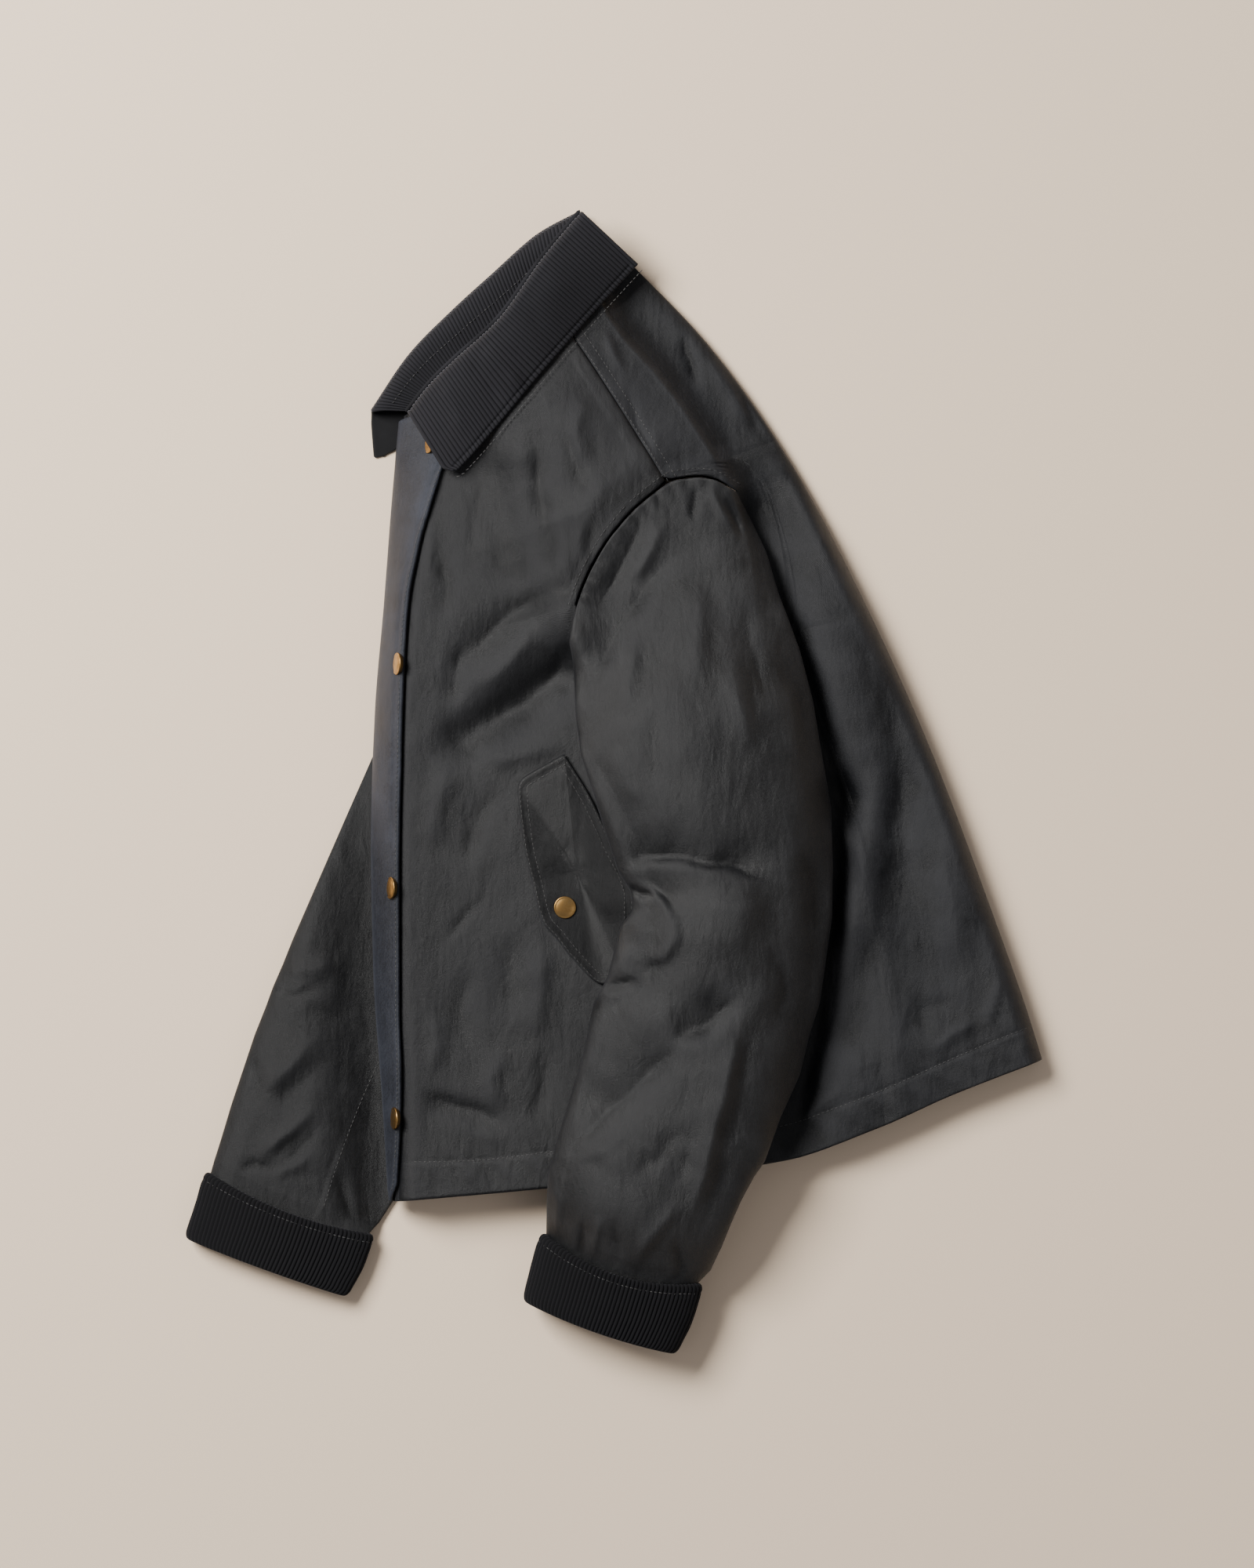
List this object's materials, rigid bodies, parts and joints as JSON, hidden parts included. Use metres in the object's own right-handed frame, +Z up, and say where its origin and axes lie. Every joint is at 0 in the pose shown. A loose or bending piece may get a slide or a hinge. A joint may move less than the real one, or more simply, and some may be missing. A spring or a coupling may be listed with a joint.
{
  "type": "waxed cotton jacket",
  "caption": "Closed waxed cotton jacket with corduroy collar and turned-back cuffs, laid flat on its side with one sleeve across it and one beneath.",
  "frame": {"origin": "centre of the bounding box at the level of the surface the jacket lies on", "axes": "+Z up from that surface, +Y from the hem towards the collar, +X from the front fold towards the centre-back fold"},
  "size_m": [0.5804, 0.7736, 0.0719],
  "materials": {
    "waxed_cotton": "matt with a soft waxy bloom",
    "corduroy": "ribbed, matt",
    "under_collar": "smooth, matt",
    "brass": "polished cap"
  },
  "bodies": {
    "root": {"front_left": "waxed_cotton", "front_right": "waxed_cotton", "back": "waxed_cotton", "underlap_band": "waxed_cotton", "storm_flap": "waxed_cotton", "sleeve_left_top": "waxed_cotton", "sleeve_left_under": "waxed_cotton", "sleeve_right_top": "waxed_cotton", "sleeve_right_under": "waxed_cotton", "cuff_left": "corduroy", "cuff_right": "corduroy", "collar_fall_left": "corduroy", "collar_stand_left": "corduroy", "collar_band_right": "corduroy", "collar_leaf_right": "under_collar", "pocket_flap_left": "waxed_cotton", "snap_1": "brass", "snap_2": "brass", "snap_3": "brass", "snap_4": "brass", "snap_pocket": "brass"}
  },
  "joints": []
}
